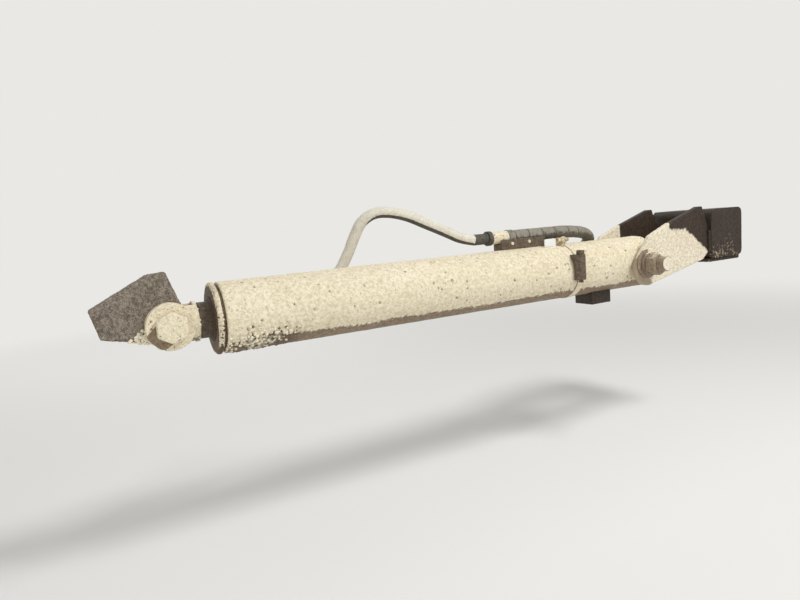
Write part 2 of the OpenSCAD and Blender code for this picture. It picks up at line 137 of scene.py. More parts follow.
def wire(node, inputs):
    """Sets a node's inputs, named or in order: values, sockets, or nodes whose first output is meant."""
    for socket_name, value in inputs.items() if isinstance(inputs, dict) else enumerate(inputs):
        socket = node.inputs[socket_name]
        if isinstance(value, bpy.types.Node):
            value = value.outputs[0]
        if isinstance(value, bpy.types.NodeSocket):
            node.id_data.links.new(value, socket)
        else:
            socket.default_value = value


def add_node(tree, kind, inputs=(), stops=(), **settings):
    """Adds a node with its settings, its inputs and, on a colour ramp, its stops."""
    made = tree.nodes.new(kind)
    for setting, value in settings.items():
        setattr(made, setting, value)
    wire(made, inputs)
    while stops and len(made.color_ramp.elements) < len(stops):
        made.color_ramp.elements.new(0.5)
    for number, (position, colour) in enumerate(stops):
        made.color_ramp.elements[number].position = position
        made.color_ramp.elements[number].color = colour
    return made


def paint_colour(hex_text):
    """An sRGB hex colour as the linear colour that Blender's sockets take."""
    parts = [int(hex_text[i:i + 2], 16) / 255 for i in (1, 3, 5)]
    return [p / 12.92 if p <= 0.04045 else ((p + 0.055) / 1.055) ** 2.4 for p in parts] + [1.0]


def ramp(places, hex_texts):
    """Stops of a colour ramp, from their places and from hex colours in one string."""
    return [(place, paint_colour(text)) for place, text in zip(places, hex_texts.split())]


print("node helpers ready")

# %% [markdown]
# ## Trees that make geometry
# Whatever repeats or follows a surface is made by a Geometry Nodes tree with named inputs for its sizes.
# All trees start and end alike, so that is written once, and so is turning a tree's result into a plain mesh.

# %% Start, end and run a tree


def geometry_tree(name, sizes):
    """A Geometry Nodes tree with a geometry in and out, a finish, and one named input for each size."""
    tree = bpy.data.node_groups.new(name, "GeometryNodeTree")
    tree.interface.new_socket("Geometry", in_out="INPUT", socket_type="NodeSocketGeometry")
    for size, value in sizes.items():
        tree.interface.new_socket(size, in_out="INPUT", socket_type="NodeSocketFloat").default_value = value
    tree.interface.new_socket("Finish", in_out="INPUT", socket_type="NodeSocketMaterial")
    tree.interface.new_socket("Geometry", in_out="OUTPUT", socket_type="NodeSocketGeometry")
    add = partial(add_node, tree)
    return tree, add, add("NodeGroupInput").outputs


def end_tree(tree, geometry, source, marks, height=None):
    """Stores marks on the points, moves them along their normals, makes all of it real, adds the finish."""
    add = partial(add_node, tree)
    for name, value in marks.items():
        geometry = add("GeometryNodeStoreNamedAttribute", {
            "Geometry": geometry, "Name": name, "Value": value})
    if height:
        push = add("ShaderNodeVectorMath", {0: add("GeometryNodeInputNormal"), "Scale": height},
                   operation="SCALE")
        geometry = add("GeometryNodeSetPosition", {"Geometry": geometry, "Offset": push})
    real = add("GeometryNodeRealizeInstances", {"Geometry": geometry})
    smooth = add("GeometryNodeSetShadeSmooth", [real])
    finished = add("GeometryNodeSetMaterial", {"Geometry": smooth, "Material": source["Finish"]})
    add("NodeGroupOutput", [finished])
    return tree


PLAIN_NUMBERS = ("Swirl", "Strokes", "Pit Share", "Mark Shade", "Density")


def run_tree(piece, tree, finish, **sizes):
    """Runs a tree on a piece and leaves a plain mesh of the same name. Sizes are in mm, bar plain numbers."""
    name = piece.name
    modifier = piece.modifiers.new(tree.name, "NODES")
    modifier.node_group = tree
    keys = {item.name: item.identifier for item in tree.interface.items_tree if item.in_out == "INPUT"}
    modifier[keys["Finish"]] = finish
    for word, value in sizes.items():
        size = word.replace("_", " ").title()
        modifier[keys[size]] = float(value) if size in PLAIN_NUMBERS else value * MM
    graph = bpy.context.evaluated_depsgraph_get()
    mesh = bpy.data.meshes.new_from_object(
        piece.evaluated_get(graph), preserve_all_data_layers=True, depsgraph=graph)
    bpy.data.objects.remove(piece)
    mesh.name = name
    return new_piece(name, mesh)


def new_piece(name, data):
    made = bpy.data.objects.new(name, data)
    bpy.context.scene.collection.objects.link(made)
    return made


print("sizes in mm, bar", PLAIN_NUMBERS)

# %% [markdown]
# ## Finish: cement over something else
# Years of splashed concrete leave a cream crust: pale and matt, with pits where air escaped.
# What it covers still shows where it is thin, on the underside and past the edge of the splash.
# Image textures could show this, but they would not follow the shape.
# Attributes on the mesh say how much cement there is (cover), where holes are (pit), how high the grains
# stand (ridge) and how rough the crust is (crust).
# Pits under 3 mm are too small for the mesh, so the finish draws them, in clusters and bent out of round, and
# colours them dark: partly the colour under the crust, partly painted shade in the hole.

# %% New finishes, and air bubbles
finishes = {}


def new_finish(name):
    """A named material, what adds its nodes, its shader, and the place that patterns follow."""
    material = finishes[name] = bpy.data.materials.new(name + "_finish")
    material.use_nodes = True
    add = partial(add_node, material.node_tree)
    place = add("ShaderNodeTexCoord").outputs["Object"]
    return material, add, material.node_tree.nodes["Principled BSDF"], place


def bubbles(add, place, per_cell, share, inner, outer):
    """1 in hollow cells, 0 elsewhere. Only a share of the cells is hollow. outer: least and most width."""
    cell = add("ShaderNodeTexVoronoi", {"Vector": place, "Scale": per_cell})
    luck = add("ShaderNodeSeparateXYZ", [cell.outputs["Color"]])
    chosen = add("ShaderNodeMath", [luck.outputs[0], share], operation="LESS_THAN")
    width = add("ShaderNodeMapRange", {"Value": luck.outputs[1], "To Min": outer[0], "To Max": outer[1]})
    hollow = add("ShaderNodeMapRange", {
        "Value": cell.outputs["Distance"], "From Min": inner, "From Max": width,
        "To Min": 1.0, "To Max": 0.0}, interpolation_type="SMOOTHSTEP")
    return add("ShaderNodeMath", [hollow, chosen], operation="MULTIPLY")


print("finishes so far:", len(finishes))

# %% The cement finish
GRAIN_SIZE = 5 * MM
FINE_GRAIN_SIZE = 1.5 * MM
MOTTLE_SIZE = 70 * MM
PIT_PITCH = 3.4 * MM
PIT_BEND = 1.6 * MM
SAND_SHARE = 1.6  # fine grain against the crust's own grain, in tone and in relief
# Share of crust height in the tone: painted shade in the hollows, painted light on the grains
RIDGE_PAINTED_SHADE = 0.8
TONE_SPREAD = 0.72
# Painted shade: the dark of deep holes and of rugged crust
DEEP_HOLE_SHADE = "#54473a"


def cement_over(name, cement, under, pit_colour, roughness=0.6, edge=0.35, pits=0.5, ridges=0.0,
                mottling=0.5):
    """Cement over another finish. cement and under are tones, dark to light. edge is how ragged it ends."""
    material, add, shader, place = new_finish(name)
    mottle, grain, fine = (
        add("ShaderNodeTexNoise", {"Vector": place, "Scale": 1 / size, "Detail": detail})
        for size, detail in ((MOTTLE_SIZE, 4.0), (GRAIN_SIZE, 3.0), (FINE_GRAIN_SIZE, 2.0)))
    cover, hole, ridge, crust = (
        add("ShaderNodeAttribute", attribute_name=word).outputs["Fac"]
        for word in ("cover", "pit", "ridge", "crust"))
    rugged = add("ShaderNodeMapRange", {"Value": crust, "From Min": 1.3, "From Max": 5.0})
    deep = paint_colour(DEEP_HOLE_SHADE)

    # Fine pits: cells bent by noise, and a share of them hollow, more where the mottling is high. Their dark
    # colour is partly what lies under the crust, partly painted shade
    bent = add("ShaderNodeVectorMath", {0: grain.outputs["Color"], "Scale": PIT_BEND}, operation="SCALE")
    bent = add("ShaderNodeVectorMath", [place, bent], operation="ADD")
    share = add("ShaderNodeMapRange", {
        "Value": mottle, "From Min": 0.38, "From Max": 0.66, "To Min": 0.15 * pits, "To Max": pits})
    share = add("ShaderNodeMath", [rugged, 0.5, share], operation="MULTIPLY_ADD")
    fine_pit = bubbles(add, bent, 1 / PIT_PITCH, share, inner=0.02, outer=(0.14, 0.42))

    # Tone: mostly fine sand and the crust's own grains, with a little slow mottling, and crust height, which
    # paints shade into hollows and light onto grains. Each averages one half
    sand = add("ShaderNodeMath", [fine, SAND_SHARE, grain], operation="MULTIPLY_ADD")
    slow = add("ShaderNodeMath", [mottle, mottling, sand], operation="MULTIPLY_ADD")
    tone = add("ShaderNodeMath", [ridge, RIDGE_PAINTED_SHADE, slow], operation="MULTIPLY_ADD")
    middle_tone = (SAND_SHARE + 1 + RIDGE_PAINTED_SHADE + mottling) / 2
    tone = add("ShaderNodeMapRange", {
        "Value": tone, "From Min": middle_tone - TONE_SPREAD, "From Max": middle_tone + TONE_SPREAD})
    cement_tone = add("ShaderNodeValToRGB", {"Fac": tone}, stops=ramp((0.22, 0.5, 0.78), cement))
    under_tone = add("ShaderNodeValToRGB", {"Fac": tone}, stops=ramp((0.25, 0.5, 0.8), under))
    # Where crust is rugged, bare tone and pit bottoms turn to painted shade: in the holed patch and in the
    # fasteners' joints
    darker = add("ShaderNodeMath", [rugged, 0.6], operation="MULTIPLY")
    under_tone = add("ShaderNodeMix", {0: darker, 6: under_tone, 7: deep}, data_type="RGBA").outputs[2]
    specks = add("ShaderNodeMath", [fine_pit, 0.8, hole], operation="MULTIPLY_ADD", use_clamp=True)
    in_pit = paint_colour(pit_colour)
    bottom = add("ShaderNodeMix", {0: rugged, 6: in_pit, 7: deep}, data_type="RGBA").outputs[2]
    pitted = add("ShaderNodeMix", {0: specks, 6: cement_tone, 7: bottom}, data_type="RGBA").outputs[2]

    # Edge of the cement: the cover, broken up by mottling and grain, and by ridges where it is thick
    ragged = add("ShaderNodeMath", [grain, mottle], operation="ADD")
    ragged = add("ShaderNodeMath", [ragged, 1.0], operation="SUBTRACT")
    ragged = add("ShaderNodeMath", [ragged, edge, cover], operation="MULTIPLY_ADD")
    proud = add("ShaderNodeMath", [ridge, 0.5], operation="SUBTRACT")
    ragged = add("ShaderNodeMath", [proud, ridges, ragged], operation="MULTIPLY_ADD")
    covered = add("ShaderNodeMapRange", {"Value": ragged, "From Min": -0.03, "From Max": 0.05})
    colour = add("ShaderNodeMix", {0: covered, 6: under_tone, 7: pitted}, data_type="RGBA").outputs[2]
    rough = add("ShaderNodeMix", {0: covered, 2: roughness, 3: 0.93})

    # Relief: fine sand stands a little proud, the cement's edge is a small step, and pits sink
    relief = add("ShaderNodeMath", [covered, 0.9, sand], operation="MULTIPLY_ADD")
    relief = add("ShaderNodeMath", [fine_pit, -1.6, relief], operation="MULTIPLY_ADD")
    bump = add("ShaderNodeBump", {"Height": relief, "Strength": 0.85, "Distance": 0.7 * MM})
    wire(shader, {"Base Color": colour, "Roughness": rough, "Normal": bump, "Specular IOR Level": 0.3})
    return material


print("grains of", round(GRAIN_SIZE / MM, 1), "mm, and fine pits", round(PIT_PITCH / MM, 1), "mm apart")

# %% Six finishes under cement
# Sprayed enamel under a thin dry crust: matt cream, with a brown underside, partly where the splash never
# dries and partly painted shade
cement_over("barrel_paint", "#d1c4a4 #e7dbbe #f4ebd4", "#77654f #8c7a64 #a5947c", "#7d6b52", pits=0.7)
# Thick crust on a greasy steel ring: ridges stay pale, hollows stay dark
cement_over("crusted_gland", "#b9aa8c #e2d6ba #f6eed8", "#453526 #62503c #80694f", "#4e3f30",
            roughness=0.5, edge=0.3, pits=0.4, ridges=2.3)
# Flame-cut plate with splashes: cream where it was hit, oily brown where it was not, darkened further as
# painted shade
cement_over("splattered_steel", "#cabea5 #e5dac1 #f4ecd8", "#281f17 #372b21 #483a2d", "#a3927a",
            roughness=0.5, edge=0.22, pits=0.3)
# Plate right under the chute: concrete trowelled on by the splash in worm-like strokes, painted grey-brown as
# the chute's shade
cement_over("lug_crust", "#574e44 #776d61 #9a9082", "#4a3f33 #5c5042 #6f6252", "#5b5146",
            roughness=0.8, edge=0.3, pits=0.1, mottling=0.3)
# Block full of grease and road dust: dark brown, hardly any cement, and darkened further as painted shade
cement_over("oily_steel", "#8f8169 #a9997e #c3b497", "#271d15 #34291f #44372a", "#3a2e23", roughness=0.42)
# Zinc-plated nuts and bolts, long dulled: tan brown metal under broken crust
cement_over("dusty_fastener", "#cdc1a6 #e8dec6 #f6efdc", "#7c6b57 #96846f #b0a089", "#a08e75",
            roughness=0.5, edge=0.25, pits=0.15)
print("cement finishes:", sorted(finishes))

# %% [markdown]
# ## Finish: rubber, sleeve, metals and the tag
# These have less crust. Dust settles on them from above and stays where nobody rubs it off, so they are
# made by the same recipe, each with its own tones. Machined metal shows the rings that its tool left.
# Brass and bronze keep the default index of refraction of a metal, and get their dullness from roughness.

# %% Other finishes
RING_PITCH = 0.8 * MM
# Carbon-black rubber of a hose: cream on top where dust settles, reaching round towards the key lamp as
# painted light; dark underneath
cement_over("hose_rubber", "#cbc4b2 #dcd6c5 #ebe6d8", "#403d36 #534f47 #656057", "#a39c8a",
            roughness=0.7, edge=0.12, pits=0.1)
# Woven nylon sleeve, soaked and dried: grey, with no gloss at all
cement_over("sleeve_fabric", "#7a756a #8e887c #a39d90", "#4a463e #68635a #7d776c", "#3d3932",
            roughness=0.85, edge=0.5, pits=0.0)
# Pressed and galvanised strip, dulled to brown under thin dust
cement_over("dusty_bracket", "#b9ab92 #d3c6ab #e6dabf", "#4b3f33 #645748 #7c6d5c", "#51443a",
            edge=0.25, pits=0.1)
# Turned brass: dull gold where the dust is rubbed off
cement_over("brass", "#cbbf9f #ded4ba #f0e8d2", "#6d5733 #967a47 #b99c66", "#86744f",
            roughness=0.35, edge=0.2, pits=0.1)
# Moulded plastic tag: almost white, with a little gloss
cement_over("tag_plastic", "#e6e5e2 #eeedec #f5f5f3", "#cfcdc8 #dcdad6 #e8e7e4", "#d8d6d0",
            roughness=0.5, edge=0.1, pits=0.0)


def turned_metal(name, colour, roughness, metal=1.0):
    """Turned metal, or rubber moulded in a turned die: fine rings that run round the X axis."""
    material, add, shader, place = new_finish(name)
    squeezed = add("ShaderNodeMapping", {"Vector": place, "Scale": (1, 0.05, 0.05)})
    rings = add("ShaderNodeTexNoise", {"Vector": squeezed, "Scale": 1 / RING_PITCH})
    bright = paint_colour(colour)
    tone = add("ShaderNodeValToRGB", {"Fac": rings}, stops=[
        (0.3, [c * 0.75 for c in bright[:3]] + [1]), (0.7, bright)])
    rough = add("ShaderNodeMapRange", {"Value": rings, "To Min": roughness * 0.8, "To Max": roughness * 1.2})
    bump = add("ShaderNodeBump", {"Height": rings, "Strength": 0.2, "Distance": 0.1 * MM})
    wire(shader, {"Base Color": tone, "Roughness": rough, "Normal": bump, "Metallic": metal})
    return material


bare_steel = turned_metal("bare_steel", "#b9b6b0", 0.35)
bronze = turned_metal("bronze", "#b08d57", 0.4)
seal_rubber = turned_metal("seal_rubber", "#4b3f33", 0.75, metal=0.0)
print("materials made:", len(bpy.data.materials))

# %% [markdown]
# ### Chromed rod
# The rod is hard chrome, polished to slide through its seal, but the short stretch beside the clevis never
# goes in, and it has turned brown and pitted. Object coordinates along X tell the two apart, so the dirty
# stretch stays where it is when the rod slides out.

# %% Chromed rod
CHROME_EDGE = 7 * MM
chrome_from_x = gland_face_x + 2 * MM


def chromed_rod():
    material, add, shader, place = new_finish("rod_chrome")
    along = add("ShaderNodeSeparateXYZ", [place]).outputs[0]
    rust = add("ShaderNodeTexNoise", {"Vector": place, "Scale": 1 / GRAIN_SIZE, "Detail": 5.0})
    smear = add("ShaderNodeTexNoise", {"Vector": place, "Scale": 1 / (3 * GRAIN_SIZE), "Detail": 3.0})
    brown = add("ShaderNodeValToRGB", {"Fac": rust}, stops=ramp((0.32, 0.5, 0.7), "#3c3228 #524637 #6b5d4a"))
    bright = add("ShaderNodeValToRGB", {"Fac": smear}, stops=ramp((0.35, 0.65), "#a8a69f #cfcdc8"))
    edge = add("ShaderNodeMath", [smear, CHROME_EDGE, along], operation="MULTIPLY_ADD")
    clean = add("ShaderNodeMapRange", {
        "Value": edge, "From Min": chrome_from_x, "From Max": chrome_from_x + CHROME_EDGE})
    colour = add("ShaderNodeMix", {0: clean, 6: brown, 7: bright}, data_type="RGBA").outputs[2]
    polish = add("ShaderNodeMapRange", {"Value": smear, "To Min": 0.08, "To Max": 0.26})
    rough = add("ShaderNodeMix", {0: clean, 2: 0.7, 3: polish})
    relief = add("ShaderNodeMix", {0: clean, 2: rust, 3: 0.5})
    bump = add("ShaderNodeBump", {"Height": relief, "Strength": 0.6, "Distance": 0.5 * MM})
    wire(shader, {"Base Color": colour, "Roughness": rough, "Metallic": clean, "Normal": bump})
    return material


rod_chrome = chromed_rod()
print("finishes without a slot:", sorted(set(finishes) - set(slot_of.values())))
print("slots without a finish:", sorted(set(slot_of.values()) - set(finishes)))

# %% [markdown]
# ## Masks on a mesh
# A mask is a number at each vertex. crust says how strongly the surface is roughened, and cover how much
# cement lies on it: above zero is cement, below is bare. Each piece gives its own short rule for them,
# from where a vertex lies and which way it faces.

# %% Masks, and handing a piece over


def rise(value, over):
    """0 where value is below zero, growing to 1 where it reaches over."""
    return np.clip(value / over, 0, 1)


def from_axis(points):
    """How far each point lies from the cylinder's axis."""
    return np.linalg.norm(points[:, 1:] - (0, axis_z), axis=1)


def store_masks(piece, **masks):
    """Stores each mask, a number or a rule that takes all points and normals, as arrays of rows."""
    mesh = piece.data
    count = len(mesh.vertices)
    points, normals = np.empty(count * 3), np.empty(count * 3)
    mesh.vertices.foreach_get("co", points)
    mesh.vertex_normals.foreach_get("vector", normals)
    points, normals = points.reshape(-1, 3), normals.reshape(-1, 3)
    for name, rule in masks.items():
        value = rule(points, normals) if callable(rule) else rule
        layer = mesh.attributes.get(name) or mesh.attributes.new(name, "FLOAT", "POINT")
        layer.data.foreach_set("value", np.broadcast_to(value, count).astype(np.float32))


def hand_over(piece, node_name, stands_for=True):
    """The piece rides on the node's body, and stands for the node or adds to it."""
    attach(piece, body_of[node_name])
    if stands_for:
        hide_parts(node_name)
    print(f"{piece.name}: {len(piece.data.polygons)} faces, on {body_of[node_name]}")
    return piece


print("masks are stored as attributes, and pieces are handed over to", sorted(set(body_of.values())))

# %% [markdown]
# ## Tubes that follow a route
# A hose is a circle drawn along a curve. The CAD gives the route as a list of points, which is repeated
# here in millimetres from the base pin. Geometry Nodes sweep the circle, count the length along the hose,
# and press in ring marks where the sleeve is tied.
# The count runs there and back by Mark Pitch, so marks are two of it apart.

# %% Tube tree


def tube_tree():
    tree, add, source = geometry_tree("tube", {
        "Radius": 0.01, "Step": 0.002, "Mark Depth": 0.0, "Mark Pitch": 0.036, "Mark Width": 0.003,
        "Mark Shade": 0.0, "Lump": 0.0, "Lump Size": 0.02})
    line = add("GeometryNodeResampleCurve", {"Curve": source["Geometry"], "Length": source["Step"]},
               mode="LENGTH")
    length = add("GeometryNodeSplineParameter").outputs["Length"]
    line = add("GeometryNodeStoreNamedAttribute", {"Geometry": line, "Name": "along", "Value": length})
    ring = add("GeometryNodeCurvePrimitiveCircle", {"Resolution": 40, "Radius": source["Radius"]})
    tube = add("GeometryNodeCurveToMesh", {"Curve": line, "Profile Curve": ring, "Fill Caps": True})
    along = add("GeometryNodeInputNamedAttribute", {"Name": "along"})
    turn_of = add("ShaderNodeMath", [along, source["Mark Pitch"]], operation="PINGPONG")
    tied = add("ShaderNodeMapRange", {
        "Value": turn_of, "From Max": source["Mark Width"],
        "To Min": 1.0, "To Max": 0.0}, interpolation_type="SMOOTHSTEP")
    mark = add("ShaderNodeMath", [tied, source["Mark Depth"]], operation="MULTIPLY")
    tied = add("ShaderNodeMath", [tied, source["Mark Shade"]], operation="MULTIPLY")
    place = add("GeometryNodeInputPosition")
    per_lump = add("ShaderNodeMath", [1.0, source["Lump Size"]], operation="DIVIDE")
    lumps = add("ShaderNodeTexNoise", {"Vector": place, "Scale": per_lump, "Detail": 2.0})
    lumps = add("ShaderNodeMath", [lumps, 0.5], operation="SUBTRACT")
    lumps = add("ShaderNodeMath", [lumps, source["Lump"]], operation="MULTIPLY")
    height = add("ShaderNodeMath", [lumps, mark], operation="SUBTRACT")
    return end_tree(tree, tube, source, {"pit": tied, "ridge": 0.5}, height)


tube = tube_tree()
print("tube tree ready")

# %% From a list of points to a tube
ROUTE_STEPS = 6  # from one point of a route to the next


def smooth_route(points):
    """Catmull-Rom curve through the points, as the CAD draws it."""
    ends = [points[0], *points, points[-1]]
    route = []
    for a, b, c, d in zip(ends, ends[1:], ends[2:], ends[3:]):
        for step in range(ROUTE_STEPS):
            t = step / ROUTE_STEPS
            route.append(0.5 * (2 * b + (c - a) * t + (2 * a - 5 * b + 4 * c - d) * t * t
                                + (3 * b - a - 3 * c + d) * t * t * t))
    return route + [points[-1]]


def tube_along(name, route, finish, **sizes):
    curve = bpy.data.curves.new(name, "CURVE")
    curve.dimensions = "3D"
    spline = curve.splines.new("POLY")
    spline.points.add(len(route) - 1)
    for point, place in zip(spline.points, route):
        point.co = (*place, 1)
    return run_tree(new_piece(name, curve), tube, finishes[finish], **sizes)


print("routes ready")

# %% [markdown]
# ## Transfer hose
# The hose carries oil from the base end to the rod end. It leaves the swivel fitting on the far side,
# climbs over the barrel in one free loop and comes down on top of it. It is stiff, wire-braided rubber.
# Both ends go into fittings, so its whole length shows.

# %% Transfer hose
HOSE_DIAMETER = 18.5 * MM
ferrule_low, ferrule_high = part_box("rod_port_ferrule")
hose_exit = Vector((ferrule_high.x, (ferrule_low.y + ferrule_high.y) / 2, axis_z))
HOSE_POINTS = [
    (-661, 83, 1), (-616, 81, 13), (-583, 77, 38), (-565, 70, 68), (-555, 63, 93), (-543, 54, 118),
    (-524, 45, 131), (-500, 37, 132), (-469, 30, 124), (-438, 22, 109), (-405, 15, 93), (-378, 11, 80),
    (-351, 10, 73.5),
]
hose_route = smooth_route([hose_exit] + [base_pin + Vector(p) * MM for p in HOSE_POINTS])
transfer_hose = tube_along("transfer_hose_cord", hose_route, "hose_rubber", radius=HOSE_DIAMETER / 2 / MM,
                           lump=0.5, lump_size=25)
# Cream on faces turned up and towards the key lamp: dust on top, painted light on the lamp's side
DUST_AND_LIGHT_SIDE = np.array(Vector((0.45, -0.40, 0.80)).normalized())
DUST_REACH = 0.18


def dust_and_light_from_above(points, normals):
    return normals @ DUST_AND_LIGHT_SIDE + DUST_REACH


store_masks(transfer_hose, cover=dust_and_light_from_above)
hand_over(transfer_hose, "transfer_hose")

# %% [markdown]
# ## The crust itself
# Paint alone looks flat here: the crust is one to three millimetres thick and throws its own small shadows.
# A Geometry Nodes tree moves each vertex along its normal by two sizes of noise, and sinks pits where a
# Voronoi cell happens to be an air bubble. The same numbers are stored for the finish to colour.
# Nothing sinks deeper than 3 mm, or a hole in the barrel would reach through its wall.

# %% Crust tree
LUMPS_PER_GRAIN = 0.22


def crust_tree():
    tree, add, source = geometry_tree("cement_crust", {
        "Depth": 0.0006, "Grain": 0.004, "Swirl": 0.0, "Strokes": 0.0, "Pit Size": 0.006,
        "Pit Depth": 0.0005, "Pit Share": 0.1, "Deepest": 0.003})
    place = add("GeometryNodeInputPosition")
    per_grain = add("ShaderNodeMath", [1.0, source["Grain"]], operation="DIVIDE")
    per_lump = add("ShaderNodeMath", [per_grain, LUMPS_PER_GRAIN], operation="MULTIPLY")
    grain = add("ShaderNodeTexNoise", {
        "Vector": place, "Scale": per_grain, "Detail": 3.0, "Distortion": source["Swirl"]})
    lump = add("ShaderNodeTexNoise", {"Vector": place, "Scale": per_lump, "Detail": 2.0})
    fold = add("ShaderNodeMath", [grain, 0.5], operation="SUBTRACT")
    fold = add("ShaderNodeMath", [fold], operation="ABSOLUTE")
    stroke = add("ShaderNodeMapRange", {"Value": fold, "From Max": 0.16, "To Min": 0.85, "To Max": 0.25})
    grain = add("ShaderNodeMix", {0: source["Strokes"], 2: grain, 3: stroke})
    height = add("ShaderNodeMath", [grain, lump], operation="ADD")
    height = add("ShaderNodeMath", [height, 1.0], operation="SUBTRACT")
    height = add("ShaderNodeMath", [height, source["Depth"]], operation="MULTIPLY")

    per_pit = add("ShaderNodeMath", [1.0, source["Pit Size"]], operation="DIVIDE")
    crust = add("GeometryNodeInputNamedAttribute", {"Name": "crust"})
    share = add("ShaderNodeMath", [source["Pit Share"], crust], operation="MULTIPLY")
    pit = bubbles(add, place, per_pit, share, inner=0.16, outer=(0.36, 0.36))
    sink = add("ShaderNodeMath", [pit, source["Pit Depth"]], operation="MULTIPLY")
    height = add("ShaderNodeMath", [height, sink], operation="SUBTRACT")
    height = add("ShaderNodeMath", [height, crust], operation="MULTIPLY")
    deepest = add("ShaderNodeMath", [source["Deepest"], -1.0], operation="MULTIPLY")
    height = add("ShaderNodeMath", [height, deepest], operation="MAXIMUM")
    return end_tree(tree, source["Geometry"], source, {"pit": pit, "ridge": grain}, height)


crust_nodes = crust_tree()
print("crust tree ready")

# %% [markdown]
# ## Clods
# Where wet concrete dripped and dried, small pale lumps sit on the crust, thickest along lower edges.
# Lumps are scattered on the finished skin by a mask called clods, each one a stone of twenty faces, turned
# and sized at random. Copying stones is much lighter than a skin fine enough to carry them.

# %% Clod tree
SMALLEST_STONE, LARGEST_STONE = 0.35, 1.5  # as shares of the size that is asked for
FULL_TURN = (6.3, 6.3, 6.3)


def clod_tree():
    tree, add, source = geometry_tree("cement_clods", {"Density": 20000.0, "Size": 0.0016})
    where = add("GeometryNodeInputNamedAttribute", {"Name": "clods"})
    density = add("ShaderNodeMath", [where, source["Density"]], operation="MULTIPLY")
    points = add("GeometryNodeDistributePointsOnFaces", {
        "Mesh": source["Geometry"], "Density": density, "Seed": 7})
    stone = add("GeometryNodeMeshIcoSphere", {"Radius": source["Size"], "Subdivisions": 1})
    size = add("FunctionNodeRandomValue", {2: SMALLEST_STONE, 3: LARGEST_STONE, "Seed": 3})
    turn_by = add("FunctionNodeRandomValue", {1: FULL_TURN, "Seed": 5}, data_type="FLOAT_VECTOR")
    placed = add("GeometryNodeInstanceOnPoints", {
        "Points": points, "Instance": stone, "Rotation": turn_by, "Scale": size.outputs[1]})
    real = add("GeometryNodeRealizeInstances", {"Geometry": placed})
    # High ridge puts the clods at the light end of the cement's tones: pale cement, lit further as painted
    # highlight
    return end_tree(tree, real, source, {"cover": 0.6, "ridge": 0.95, "pit": 0.0, "crust": 1.0})


clod_nodes = clod_tree()
print("clod tree ready")

# %% Scatter clods on a piece


def clods_on(piece, node_name, rule, density, size):
    """Scatters clods on a finished piece where the rule says, as a piece of its own."""
    ground = new_piece(node_name + "_clods", piece.data.copy())
    store_masks(ground, clods=rule)
    scattered = run_tree(ground, clod_nodes, finishes["barrel_paint"], density=density, size=size)
    hand_over(scattered, node_name, stands_for=False)


print("clods are made of", finishes["barrel_paint"].name)

# %% [markdown]
# ## Turned pieces
# Barrel and rod are round bar and tube, so each is a profile spun about the cylinder's axis.
# The Screw modifier would do it, but rings made in code keep the faces the same size everywhere, and the
# crust needs faces smaller than its grains.

# %% Spin a profile


def stations(points, step):
    """Splits each straight stretch of a profile into steps no longer than step."""
    split = [points[0]]
    for (x0, r0), (x1, r1) in zip(points, points[1:]):
        parts = max(1, math.ceil(math.hypot(x1 - x0, r1 - r0) / step))
        split += [(x0 + (x1 - x0) * i / parts, r0 + (r1 - r0) * i / parts) for i in range(1, parts + 1)]
    return split


def spun(name, profile, around):
    """Spins (x, radius) pairs about the cylinder's axis. A profile that ends where it starts is a ring."""
    angles = np.linspace(0, 2 * math.pi, around, endpoint=False)
    rings = [np.stack([np.full(around, x), r * np.cos(angles), axis_z + r * np.sin(angles)], 1)
             for x, r in profile]
    mesh = bpy.data.meshes.new(name)
    faces = [
        (i + k, i + (k + 1) % around, i + around + (k + 1) % around, i + around + k)
        for i in range(0, (len(profile) - 1) * around, around) for k in range(around)]
    mesh.from_pydata(np.concatenate(rings).tolist(), [], faces)
    shape = bmesh.new()
    shape.from_mesh(mesh)
    bmesh.ops.remove_doubles(shape, verts=shape.verts, dist=0.01 * MM)
    bmesh.ops.recalc_face_normals(shape, faces=shape.faces)
    shape.to_mesh(mesh)
    shape.free()
    return new_piece(name, mesh)


print("spun profiles ready")

# %% [markdown]
# ## Barrel
# A honed steel tube, the largest piece and the one the eye reads first: cream, dry and pitted all over.
# A narrow smooth band is left at the gland, and beyond it the lower front is full of holes and clods.
# The underside stays brown: partly the splash never reaches it, partly painted shade.

# %% Barrel
SKIN_STEP = 2.1 * MM
HOLED_STEP = 1.1 * MM
HOLED_LENGTH = 115 * MM
BARREL_AROUND = 184
SMOOTH_BAND = 6 * MM
CHAMFER = 1.6 * MM
WALL_SIDE = 3 * MM  # what lies this far below the outside is the inside of the tube
plug_seam_x = barrel_high.x
holed_to_x = tube_end_x + HOLED_LENGTH
skin = stations([
    (tube_end_x, barrel_r - CHAMFER), (tube_end_x + CHAMFER, barrel_r), (holed_to_x, barrel_r)], HOLED_STEP)
skin += stations([(holed_to_x, barrel_r), (plug_seam_x, barrel_r)], SKIN_STEP)[1:]
barrel = spun("barrel_skin", [(tube_end_x, bore_r)] + skin + [(plug_seam_x, bore_r), (tube_end_x, bore_r)],
              BARREL_AROUND)

PATCH_MIDDLE = 52 * MM  # from the tube's end
PATCH_REACH = 42 * MM
HOLES_STAND = 7  # how many times more the crust stands and sinks there


def rough_patch(points):
    """1 in the holed stretch beside the gland, on the lower front of the barrel, and 0 away from it."""
    along = np.clip(1.4 - np.abs(points[:, 0] - (tube_end_x + PATCH_MIDDLE)) / PATCH_REACH, 0, 1)
    low = rise(axis_z - 4 * MM - points[:, 2], 20 * MM)
    front = rise(8 * MM - points[:, 1], 16 * MM)
    return along * low * front


